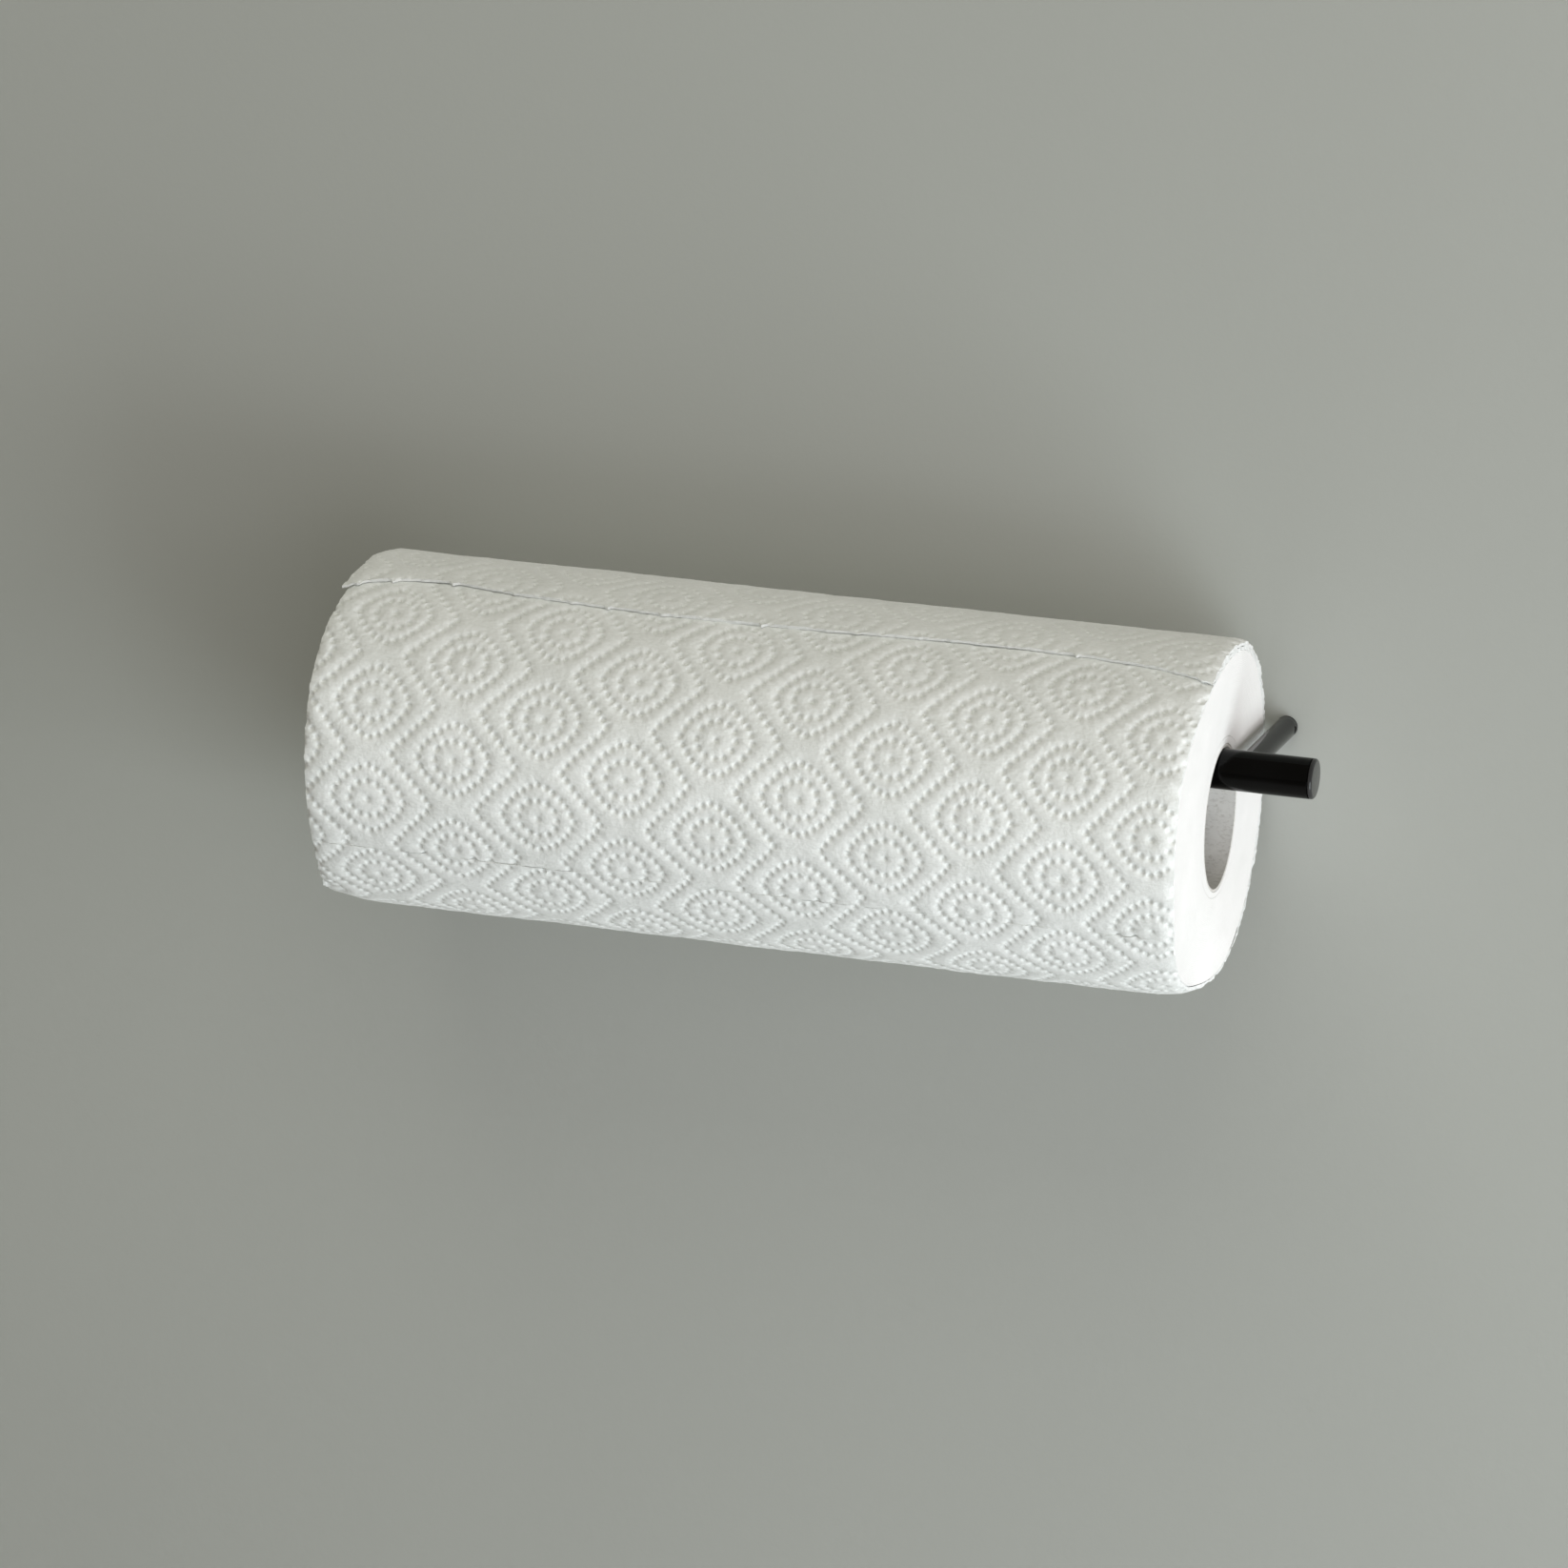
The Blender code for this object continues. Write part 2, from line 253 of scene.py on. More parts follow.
def wound_paper():
    """The cut ends of the paper: fine turns about the roll's axis, furred by the knife."""
    made, tree, shader, add = new_material("wound_paper")
    place = add("TexCoord")
    centred = add("Mapping", vector_type="TEXTURE")
    centred.inputs["Location"].default_value = (0, ROLL_Y, ROLL_Z)
    tree.links.new(place.outputs["Object"], centred.inputs["Vector"])
    turns = add("TexWave", wave_type="RINGS", rings_direction="X")
    turns.inputs["Scale"].default_value = 600
    turns.inputs["Distortion"].default_value = 6.0
    turns.inputs["Detail"].default_value = 2.0
    turns.inputs["Detail Scale"].default_value = 0.25
    tree.links.new(centred.outputs["Vector"], turns.inputs["Vector"])
    point = object_point(tree, add)
    fur = noise_at(tree, add, point, 1600, 4, 0.65)
    clouds = noise_at(tree, add, point, 60, 4, 0.6)
    tint = ramp(tree, add, clouds, [(0.3, (0.845, 0.85, 0.835)), (0.7, (0.90, 0.90, 0.89))])
    line = ramp(tree, add, turns.outputs["Fac"], [(0.0, (0.965, 0.965, 0.96)), (0.5, (1, 1, 1))])
    tree.links.new(multiplied(tree, add, tint, line), shader.inputs["Base Color"])
    tree.links.new(spread(tree, add, fur, 0.88, 1.0), shader.inputs["Roughness"])
    shader.inputs["Specular IOR Level"].default_value = 0.2
    rings = bump(tree, add, shader, turns.outputs["Fac"], 0.00003)
    bump(tree, add, shader, fur, 0.00010, under=rings)
    return made


def core_card():
    """Grey recycled board with fibre flecks. The line where the wound strip's edges meet is a groove in the
    core's shape, not drawn here.
    """
    made, tree, shader, add = new_material("core_card")
    point = object_point(tree, add)
    clouds = noise_at(tree, add, point, 90, 4, 0.6)
    flecks = noise_at(tree, add, object_point(tree, add, (0.5, 1, 1)), 1300, 3, 0.6)
    tint = ramp(tree, add, clouds, [(0.3, (0.66, 0.65, 0.62)), (0.7, (0.76, 0.75, 0.72))])
    fleck = ramp(tree, add, flecks, [(0.30, (0.80, 0.79, 0.77)), (0.5, (1, 1, 1)), (0.72, (1, 1, 1))])
    tree.links.new(multiplied(tree, add, tint, fleck), shader.inputs["Base Color"])
    tree.links.new(spread(tree, add, clouds, 0.85, 0.95), shader.inputs["Roughness"])
    shader.inputs["Specular IOR Level"].default_value = 0.3
    bump(tree, add, shader, flecks, 0.00005)
    return made


BLACK = gloss_black("black_coat_rail", 0.0005, 0.0011, 0.16)
BLACK_ARM = gloss_black("black_coat_arm", 0.0018, 0.0032, 0.25)
BLACK_PLUG = gloss_black("black_plug", 0.020, 0.030, 0.50)
ZINC = brushed_metal("zinc_plate", (0.50, 0.50, 0.47), (0.66, 0.66, 0.64), 0.30, (900, 4000, 900))
BLACK_STEEL = brushed_metal("blackened_steel", (0.03, 0.03, 0.03), (0.07, 0.07, 0.068), 0.40,
                            (4000, 900, 900))
RUBBER = soft_plastic("black_rubber", (0.012, 0.012, 0.012), (0.022, 0.022, 0.022), 0.72, 2500)
NYLON = soft_plastic("grey_nylon", (0.50, 0.51, 0.51), (0.60, 0.61, 0.61), 0.48, 1500)
PAPER_FRONT = towel_paper()
PAPER_END = wound_paper()
CARDBOARD = core_card()


# ================================================================ stage and lights
def painted(name, dark, light, one_sided=False):
    """Matt wall paint with the fine texture a roller leaves."""
    made, tree, shader, add = new_material(name)
    point = object_point(tree, add)
    clouds = noise_at(tree, add, point, 3, 3)
    tree.links.new(ramp(tree, add, clouds, [(0.3, dark), (0.7, light)]), shader.inputs["Base Color"])
    shader.inputs["Roughness"].default_value = 0.75
    shader.inputs["Specular IOR Level"].default_value = 0.25
    bump(tree, add, shader, noise_at(tree, add, point, 420, 3, 0.6), 0.00006)
    if one_sided:
        side = add("NewGeometry")
        clear = add("BsdfTransparent")
        mixed = add("MixShader")
        output = tree.nodes["Material Output"]
        tree.links.new(side.outputs["Backfacing"], mixed.inputs[0])
        tree.links.new(shader.outputs["BSDF"], mixed.inputs[1])
        tree.links.new(clear.outputs["BSDF"], mixed.inputs[2])
        tree.links.new(mixed.outputs["Shader"], output.inputs["Surface"])
    return made


def stage_plane(name, corners, paint):
    mesh = bpy.data.meshes.new(name)
    mesh.from_pydata(corners, [], [range(len(corners))])
    mesh.materials.append(paint)
    plane = bpy.data.objects.new(name, mesh)
    bpy.context.scene.collection.objects.link(plane)
    return plane


def make_stage():
    """A pale floor, and the wall that the holder hangs on, which shows only from its front."""
    floor_z, reach, top = -1.3, 12, 2.2
    stage_plane("floor", [(-reach, -reach, floor_z), (reach, -reach, floor_z),
                          (reach, reach, floor_z), (-reach, reach, floor_z)],
                painted("pale_floor", (0.62, 0.62, 0.60), (0.66, 0.66, 0.64)))
    half = 2.6
    wall = stage_plane("wall", [(-half, 0, floor_z), (half, 0, floor_z), (half, 0, top),
                                (-half, 0, top)],
                       painted("wall_paint", (0.382, 0.393, 0.369), (0.396, 0.407, 0.382), one_sided=True))
    wall.visible_shadow = False
    wall.visible_diffuse = False


def area_light(name, direction, distance, size, power, colour=(1, 1, 1), hidden=False):
    """A soft square light on the roll from a direction. When hidden, gloss doesn't mirror it."""
    data = bpy.data.lights.new(name, "AREA")
    data.size = size
    data.energy = power
    data.color = colour
    light = bpy.data.objects.new(name, data)
    light.visible_glossy = not hidden
    away = Vector(direction).normalized()
    light.location = ROLL_MIDDLE + away * distance
    light.rotation_euler = away.to_track_quat("Z", "Y").to_euler()
    bpy.context.scene.collection.objects.link(light)


def make_lights():
    world = bpy.data.worlds.new("studio")
    world.use_nodes = True
    background = world.node_tree.nodes["Background"]
    background.inputs["Color"].default_value = (1.05, 0.98, 0.83, 1)
    background.inputs["Strength"].default_value = 0.213
    bpy.context.scene.world = world
    area_light("low_key", (0.80, -0.55, -0.41), 1.9, 1.1, 16.2, (0.92, 1.02, 1.05))
    area_light("side", (1.0, -0.25, 0.0), 1.9, 1.0, 16.0, (1.02, 0.99, 1.02), hidden=True)
    area_light("front", (0.45, -0.85, -0.10), 2.2, 1.2, 7.4, (0.99, 0.98, 1.06), hidden=True)
    area_light("upper_front", (0.3, -0.85, 0.45), 2.4, 1.6, 3.5, (1.05, 0.98, 0.85), hidden=True)
    area_light("top", (0.0, -0.45, 0.90), 2.0, 1.5, 13.0, (0.99, 1.01, 0.92), hidden=True)
    area_light("back", (-0.35, 1.0, 0.15), 2.2, 1.5, 8.0)


make_stage()
make_lights()
bpy.context.scene.view_settings.view_transform = "Standard"


# ================================================================ shapes
def finish_object(name, mesh, paints, body, sharp_angle=35):
    """Links a mesh as a piece that rides on a body."""
    for paint in paints:
        mesh.materials.append(paint)
    mesh.shade_smooth()
    mesh.set_sharp_from_angle(angle=math.radians(sharp_angle))
    made = bpy.data.objects.new(name, mesh)
    bpy.context.scene.collection.objects.link(made)
    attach(made, body)
    return made


def ring_solid(name, rings, closed):
    """Mesh through rings of points. It ends in flat caps, or else closes on itself."""
    data = bmesh.new()
    made = [[data.verts.new(point) for point in ring] for ring in rings]
    pairs = list(zip(made, made[1:]))
    if closed:
        pairs.append((made[-1], made[0]))
    else:
        data.faces.new(made[0])
        data.faces.new(made[-1])
    for first, second in pairs:
        for i in range(len(first)):
            j = (i + 1) % len(first)
            data.faces.new((first[i], first[j], second[j], second[i]))
    bmesh.ops.recalc_face_normals(data, faces=data.faces)
    mesh = bpy.data.meshes.new(name)
    data.to_mesh(mesh)
    data.free()
    return mesh


def turned_rings(profile, axis, middle, steps, radius_at=None):
    """Rings about an axis through middle, from (distance along it, radius) points.

    radius_at may reshape a ring: it takes the ring's number, its angle and its radius.
    """
    turn = Vector((1, 0, 0)).rotation_difference(Vector(axis)).to_matrix()
    rings = []
    for number, (along, radius) in enumerate(profile):
        ring = []
        for i in range(steps):
            a = 2 * math.pi * i / steps
            r = radius_at(number, a, radius) if radius_at else radius
            ring.append(turn @ Vector((along, r * math.cos(a), r * math.sin(a))) + Vector(middle))
        rings.append(ring)
    return rings


def arc(along, radius, fillet, start, end, points=7):
    """Profile points of a fillet centred at (along, radius)."""
    angles = [math.radians(start + (end - start) * i / (points - 1)) for i in range(points)]
    return [(along + fillet * math.cos(a), radius + fillet * math.sin(a)) for a in angles]


def softened_tube(start, end, inner, outer, edge):
    """Profile of a tube whose four rims are broken by a small fillet."""
    return (arc(start + edge, inner + edge, edge, 270, 180, 4)
            + arc(start + edge, outer - edge, edge, 180, 90, 4)
            + arc(end - edge, outer - edge, edge, 90, 0, 4)
            + arc(end - edge, inner + edge, edge, 0, -90, 4))


def cut_away(made, cutter_mesh):
    """Cuts a closed mesh out of a piece for good."""
    cutter = bpy.data.objects.new("cutter", cutter_mesh)
    bpy.context.scene.collection.objects.link(cutter)
    boolean = made.modifiers.new("cut", "BOOLEAN")
    boolean.object = cutter
    boolean.solver = "EXACT"
    graph = bpy.context.evaluated_depsgraph_get()
    result = bpy.data.meshes.new_from_object(made.evaluated_get(graph), depsgraph=graph)
    assert len(result.polygons) > 0, "nothing was left of " + made.name
    made.modifiers.clear()
    made.data = result
    result.shade_smooth()
    result.set_sharp_from_angle(angle=math.radians(35))
    bpy.data.objects.remove(cutter)


# ================================================================ the holder
def make_rail():
    profile = softened_tube(rail_low.x, rail_high.x, RAIL_BORE, RAIL_RADIUS, 0.00008)
    mesh = ring_solid("rail", turned_rings(profile, (1, 0, 0), (0, RAIL_Y, 0), 128), True)
    rail = finish_object("rail", mesh, [BLACK], "holder")
    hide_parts("rail_tube")


def make_end_plug(name, node, face, outward, length):
    """Pressed-in plug: a rounded flange as wide as the tube, and a ribbed spigot inside it."""
    flange, fillet = 0.0012, 0.0009
    spigot = RAIL_BORE - GAP
    ribs = 3
    profile = [(0, 0.0004), *reversed(arc(-fillet, RAIL_RADIUS - fillet, fillet, 90, 0, 12)),
               (-flange + 0.00006, RAIL_RADIUS), (-flange, RAIL_RADIUS - 0.00006), (-flange, spigot)]
    pitch = (length - flange) / (ribs + 1)
    for rib in range(1, ribs + 1):
        along = -flange - rib * pitch
        profile += [(along + 0.0006, spigot - 0.0003), (along, spigot), (along - 0.0006, spigot - 0.0003)]
    profile += [(-length + 0.0004, spigot - 0.0003), (-length, spigot - 0.0007)]
    rings = turned_rings(profile, (outward, 0, 0), (face, RAIL_Y, 0), 128)
    plug = finish_object(name, ring_solid(name, rings, False), [BLACK_PLUG], "holder")
    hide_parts(node)


def make_arm():
    """Bar saddled to the rail, bored for the stud at each end, with a grub screw's hole."""
    edge = 0.00012
    inner_front, inner_back = 0.0023, 0.0019
    back = arm_high.y
    front = RAIL_Y + RAIL_RADIUS + GAP
    floor_front, floor_back = front + 0.012, back - 0.017
    profile = [(front, inner_front), (front, ARM_RADIUS - edge), (front + edge, ARM_RADIUS),
               *((y, ARM_RADIUS) for y in np.linspace(front + 0.004, back - 0.002, 6)),
               *arc(back - edge, ARM_RADIUS - edge, edge, 90, 0, 5),
               (back, inner_back), (floor_back, inner_back)]
    rings = turned_rings(profile, (0, 1, 0), (0, 0, 0), 96)
    for ring in rings[:3]:
        for point in ring:
            saddle = math.sqrt((RAIL_RADIUS + GAP) ** 2 - point.z ** 2) - (RAIL_RADIUS + GAP)
            point.y += saddle
    far = turned_rings([(floor_front, inner_front)], (0, 1, 0), (0, 0, 0), 96)
    mesh = ring_solid("arm_bar", far + rings, False)
    arm = finish_object("arm_bar", mesh, [BLACK_ARM], "holder")
    hole_y = (grub_low.y + grub_high.y) / 2
    hole = turned_rings([(0, 0.0012), (2 * ARM_RADIUS, 0.0012)], (1, 0, 0), (0, hole_y, 0), 40)
    cut_away(arm, ring_solid("grub_hole", hole, False))
    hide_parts("arm")


def make_washer():
    profile = softened_tube(washer_low.y, washer_high.y, 0.0028, ARM_RADIUS, 0.00025)
    mesh = ring_solid("washer", turned_rings(profile, (0, 1, 0), (0, 0, 0), 96), True)
    washer = finish_object("washer", mesh, [RUBBER], "holder")
    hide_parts("wall_washer")


def make_grub():
    """Set screw with a hexagon socket."""
    hole_y = (grub_low.y + grub_high.y) / 2
    radius = (grub_high.y - grub_low.y) / 2
    inner, outer, socket = grub_low.x, grub_high.x, radius * 0.55
    chamfer = 0.0001
    profile = [(inner, radius * 0.3), (inner + 0.0003, radius), (outer - chamfer, radius),
               (outer, radius - chamfer), (outer, socket), (outer - 0.0007, socket)]

    def hexagon(number, angle, r):
        if number < 4:
            return r
        part = (angle + math.pi / 6) % (math.pi / 3) - math.pi / 6
        return r * math.cos(math.pi / 6) / math.cos(part)

    rings = turned_rings(profile, (1, 0, 0), (0, hole_y, 0), 48, hexagon)
    screw = finish_object("set_screw", ring_solid("set_screw", rings, False), [BLACK_STEEL],
                          "holder")
    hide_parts("grub_screw")


def threaded_rod(name, node, axis_y, plain_to, radii, pitch, depth, point=0.0):
    """Rod along +Y with a thread cut in it after plain_to. radii are its plain and its thread's.

    point is the length over which the end narrows, as on a wood screw.
    """
    start, end = axis_y
    plain, crest = radii
    steps, per_pitch = 40, 8
    rows = [start, start + 0.0003]
    rows += list(np.linspace(plain_to, end - 0.0001, max(2, int((end - plain_to) / pitch * per_pitch))))
    rings = []
    for number, y in enumerate(rows):
        ring = []
        for i in range(steps):
            a = 2 * math.pi * i / steps
            if y < plain_to:
                r = plain - (0.0003 if number == 0 else 0)
            else:
                phase = (y / pitch - i / steps) % 1
                groove = depth * (1 - abs(2 * phase - 1)) * min(1, (y - plain_to) / pitch)
                r = (crest - groove) * min(1, (end - y) / point if point else 1)
            ring.append(Vector((r * math.cos(a), y, r * math.sin(a))))
        rings.append(ring)
    rod = finish_object(name, ring_solid(name, rings, False), [ZINC], "holder", 50)
    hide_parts(node)


def make_wall_plug():
    """Nylon plug: rounded barbs, split along most of its length."""
    low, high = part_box("wall_plug")
    bore, outer = 0.0018, (high.x - low.x) / 2
    barbs = 7
    start = low.y + 0.006
    pitch = (high.y - 0.001 - start) / barbs
    profile = [(low.y, bore), (low.y, outer - 0.0002), (low.y + 0.0002, outer), (start, outer)]
    for barb in range(barbs):
        y = start + barb * pitch
        profile += [(y + 0.0002, outer - 0.00045), (y + pitch * 0.75, outer - 0.00005),
                    (y + pitch * 0.9, outer)]
    profile += [(high.y - 0.0008, outer - 0.0005), (high.y, outer - 0.0006), (high.y, bore)]
    plug = finish_object("nylon_plug", ring_solid("nylon_plug", turned_rings(
        profile, (0, 1, 0), (0, 0, 0), 64), True), [NYLON], "holder")
    slit = bmesh.new()
    bmesh.ops.create_cube(slit, size=1, matrix=Matrix.Translation((0, low.y + 0.009 + 0.02, 0))
                          @ Matrix.Diagonal((0.02, 0.04, 0.0007, 1)))
    slit_mesh = bpy.data.meshes.new("slit")
    slit.to_mesh(slit_mesh)
    slit.free()
    cut_away(plug, slit_mesh)
    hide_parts("wall_plug")


make_rail()
make_end_plug("plug_right", "end_plug_right", right_plug_high.x, 1, right_plug_high.x - right_plug_low.x)
make_end_plug("plug_left", "end_plug_left", left_plug_low.x, -1, left_plug_high.x - left_plug_low.x)
make_arm()
make_washer()
make_grub()
threaded_rod("hanger_stud", "wall_stud", (stud_low.y, stud_high.y), 0.0, (0.0016, 0.0015), 0.0012,
             0.00035, point=0.005)
threaded_rod("rail_stud", "joint_stud", (joint_low.y, joint_high.y), joint_low.y + 0.0004,
             (0.0020, 0.0020), 0.0007, 0.0003)
make_wall_plug()
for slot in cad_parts["rail_insert"].material_slots:
    slot.material = ZINC


# ================================================================ the roll
def on_roll(x, radius, angle):
    """Points of the roll as an array, from arrays of places along it, radii and angles."""
    turn = np.radians(angle)
    return np.stack([x + 0 * turn, ROLL_Y - radius * np.cos(turn), ROLL_Z + radius * np.sin(turn)], -1)


def smooth_step(value):
    held = np.clip(value, 0, 1)
    return held * held * (3 - 2 * held)


def curve_through(knots):
    """A smooth curve through (place, value) knots."""
    xs, ys = (np.array(v, float) for v in zip(*knots))
    slopes = np.gradient(ys, xs)

    def at(x):
        x = np.clip(x, xs[0], xs[-1])
        i = np.clip(np.searchsorted(xs, x) - 1, 0, len(xs) - 2)
        span = xs[i + 1] - xs[i]
        t = (x - xs[i]) / span
        return ((1 + 2 * t) * (1 - t) ** 2 * ys[i] + t * (1 - t) ** 2 * span * slopes[i]
                + t * t * (3 - 2 * t) * ys[i + 1] + t * t * (t - 1) * span * slopes[i + 1])

    return at


CURL = 0.0009                 # how far the rims of the outer turns are drawn in
CURL_SPAN = 0.0035            # and over what length from each rim
CURL_START = 0.0004           # where the mesh of a rim's rounding starts

# How far the rims of the outer turns stray along the roll, by their angle: the roll was wound a
# little askew, so its ends are not flat.
LEFT_DRIFT = curve_through([(-180, 0), (-110, -0.0004), (-90, -0.0020), (-75, -0.0030),
                            (-60, -0.0022), (-50, -0.0010), (-40, 0.0003), (-20, 0.0008),
                            (0, 0.0003), (25, -0.0002), (45, 0.0001), (63, 0.0019), (80, 0.0025),
                            (100, 0.0030), (120, 0.0018), (150, 0.0003), (180, 0)])
RIGHT_DRIFT = curve_through([(-180, 0), (-120, 0), (-105, -0.0002), (-92, -0.0012), (-80, -0.0030),
                             (-65, -0.0033), (-50, -0.0028), (-35, -0.0018), (-15, -0.0007),
                             (10, -0.0007), (30, -0.0005), (45, 0.0003), (60, 0.0013), (80, 0.0019),
                             (100, 0.0019), (120, 0.0009), (150, 0.0001), (180, 0)])


def left_drift(angle):
    return LEFT_DRIFT((np.asarray(angle, float) + 180) % 360 - 180)


def right_drift(angle):
    return RIGHT_DRIFT((np.asarray(angle, float) + 180) % 360 - 180)


def winding_radius(angle):
    """Outer radius under the two outermost towels: rounder in front, flatter above and below,
    and bulging high at the back, where the paper is slack."""
    turn = np.radians(angle)
    past = np.asarray(angle, float) - BULGE_ANGLE
    slack = BULGE * np.exp(-(past / np.where(past < 0, 24, 45)) ** 2)
    flat = 0.0005 * np.sin(turn) ** 2 + 0.0007 * np.maximum(np.sin(turn), 0) ** 2
    return FRONT_RADIUS - PAPER - LOOSE - 0.0005 + 0.0005 * np.cos(turn) - flat + slack


def bore_radius(angle, grown=0.0):
    """Distance from the roll's axis to the oval core's inside, grown outwards by that much."""
    turn = np.radians(angle)
    width, height = BORE_HALF_WIDTH + grown, BORE_HALF_HEIGHT + grown
    across, up, lift = np.cos(turn) / width, np.sin(turn) / height, (BORE_Z - ROLL_Z) / height
    a, b, c = across ** 2 + up ** 2, -2 * up * lift, lift ** 2 - 1
    return (-b + np.sqrt(b * b - 4 * a * c)) / (2 * a)


def grid_mesh(name, grids):
    """A closed mesh from grids of points joined end to end, each closed round its second way."""
    points = np.concatenate(grids)
    rows, columns = points.shape[:2]
    faces = []
    for i in range(rows):
        below, above = i * columns, (i + 1) % rows * columns
        for j in range(columns):
            k = (j + 1) % columns
            faces.append((below + j, below + k, above + k, above + j))
    mesh = bpy.data.meshes.new(name)
    mesh.from_pydata(points.reshape(-1, 3).tolist(), [], faces)
    data = bmesh.new()
    data.from_mesh(mesh)
    bmesh.ops.recalc_face_normals(data, faces=data.faces)
    data.to_mesh(mesh)
    data.free()
    return mesh


def cut_face(inner, outer, x, outward, seed, rings, angles, fur, drift):
    """A cut end as a grid: each turn of paper stands a little out or in, differently all round."""
    grid = []
    for i in range(rings + 1):
        part = i / rings
        radius = inner + (outer - inner) * part
        level = np.array([noise.noise((i * 0.83 + seed, 2.2 * math.cos(math.radians(a)),
                                       2.2 * math.sin(math.radians(a)))) for a in angles])
        level *= fur * min(1.0, 4 * part, 4 * (1 - part))
        grid.append(on_roll(x + outward * level + drift(angles) * smooth_step(part), radius, angles))
    return np.array(grid)


def make_core():
    """Cardboard tube drawn into an oval, wound from a strip whose edges leave a spiral line."""
    angles = np.arange(144) * 2.5
    along = np.linspace(ROLL_LEFT + 0.0001, ROLL_RIGHT - 0.0001, 240)
    strip, seam, depth = 0.072, 0.0006, 0.00022
    inside = []
    for x in along:
        phase = ((x - ROLL_LEFT) / strip - angles / 360) % 1
        off = np.minimum(phase, 1 - phase) * strip
        inside.append(on_roll(x, bore_radius(angles) + depth * np.exp(-(off / seam) ** 2), angles))
    rim = 0.00015
    outside = [on_roll(x, bore_radius(angles, CARD - back), angles) for x, back in
               ((ROLL_RIGHT, rim), (ROLL_RIGHT - rim, 0), (ROLL_LEFT + rim, 0), (ROLL_LEFT, rim))]
    left_end = [on_roll(ROLL_LEFT, bore_radius(angles, rim), angles)]
    right_end = [on_roll(ROLL_RIGHT, bore_radius(angles, rim), angles)]
    grids = [np.array(rows) for rows in (left_end, inside, right_end, outside)]
    core = finish_object("core_tube", grid_mesh("core_tube", grids), [CARDBOARD], "core")
    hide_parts("paper_core")


def still(angle):
    return 0 * np.asarray(angle, float)


def paper_ring(name, inner_at, outer_at, seed, rings, body, fur, drifts, curl):
    """A ring of wound paper between two outlines, with both of its ends cut in rings.

    drifts say how far the left and the right rim stray along the roll, and curl how far the rims
    are drawn in.
    """
    angles = np.arange(288) * 1.25
    inner, outer = inner_at(angles), outer_at(angles)
    right = cut_face(inner, outer - curl, ROLL_RIGHT, 1, seed, rings, angles, fur, drifts[1])
    left = cut_face(inner, outer - curl, ROLL_LEFT, -1, seed + 50, rings, angles, fur, drifts[0])[::-1]

    def shoulder(x, away):
        return on_roll(x, outer - curl * (1 - away / CURL_SPAN) ** 2, angles)

    shoulders = [shoulder(ROLL_RIGHT + drifts[1](angles) - away, away)
                 for away in np.linspace(CURL_START, CURL_SPAN, 5)]
    shoulders += [shoulder(ROLL_LEFT + drifts[0](angles) + away, away)
                  for away in np.linspace(CURL_SPAN, CURL_START, 5)]
    grids = [right, np.array(shoulders), left] if curl else [right, left]
    return finish_object(name, grid_mesh(name, grids), [PAPER_END], body, 60)


def make_winding():
    """The turns glued to the oval core, which stay with it, and all the turns wound on them."""
    first = paper_ring("first_turns", lambda a: bore_radius(a, CARD + 0.0001),
                       lambda a: FIRST_TURNS_RADIUS + 0 * a, 3.1, 10, "core", 0.00004, (still, still), 0.0)
    wound = paper_ring("wound_paper_turns", lambda a: FIRST_TURNS_RADIUS + 0.0001 + 0 * a,
                       winding_radius, 7.7, 64, "paper", 0.00006, (left_drift, right_drift), CURL)
    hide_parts("paper_winding")
    return first, wound


# ---------------------------------------------------------------- embossing
COLUMN_PITCH = 0.02778        # between motifs along the roll
FIRST_COLUMN = 0.0211         # from the roll's left end
ROW_PITCH = FRONT_RADIUS * math.radians(32.25)
ROW_ANGLES = (22.2, 6.1)      # a motif's angle in the first and the second column
DOT_RADIUS = 0.00132
DOT_DEPTH = 0.00086
GROOVE_RADIUS = 0.0024        # of the shallow hollow that a row of dots pulls the paper into
GROOVE_DEPTH = 0.00028
DEEPEST = 0.9                 # share of a towel's thickness that a dent may reach
SOFT_WAVE = 0.00028           # how far the towels' long waves stand out,
SHORT_WAVE = 0.00007          # their short ones
RIM_WAVE = 0.0007             # and those at their rims
ZIGZAG = 0.0064               # how far the dotted lines swing to each side
ZIGZAG_DOTS = 14


def oval(half_width, half_height, exponent, count):
    """Evenly spaced points of a superellipse, starting on its right."""
    turn = np.linspace(0, 2 * math.pi, 721)
    c, s = np.cos(turn), np.sin(turn)
    x = half_width * np.sign(c) * np.abs(c) ** (2 / exponent)
    y = half_height * np.sign(s) * np.abs(s) ** (2 / exponent)
    run = np.concatenate([[0], np.cumsum(np.hypot(np.diff(x), np.diff(y)))])
    at = np.arange(count) * run[-1] / count
    return list(zip(np.interp(at, run, x), np.interp(at, run, y)))


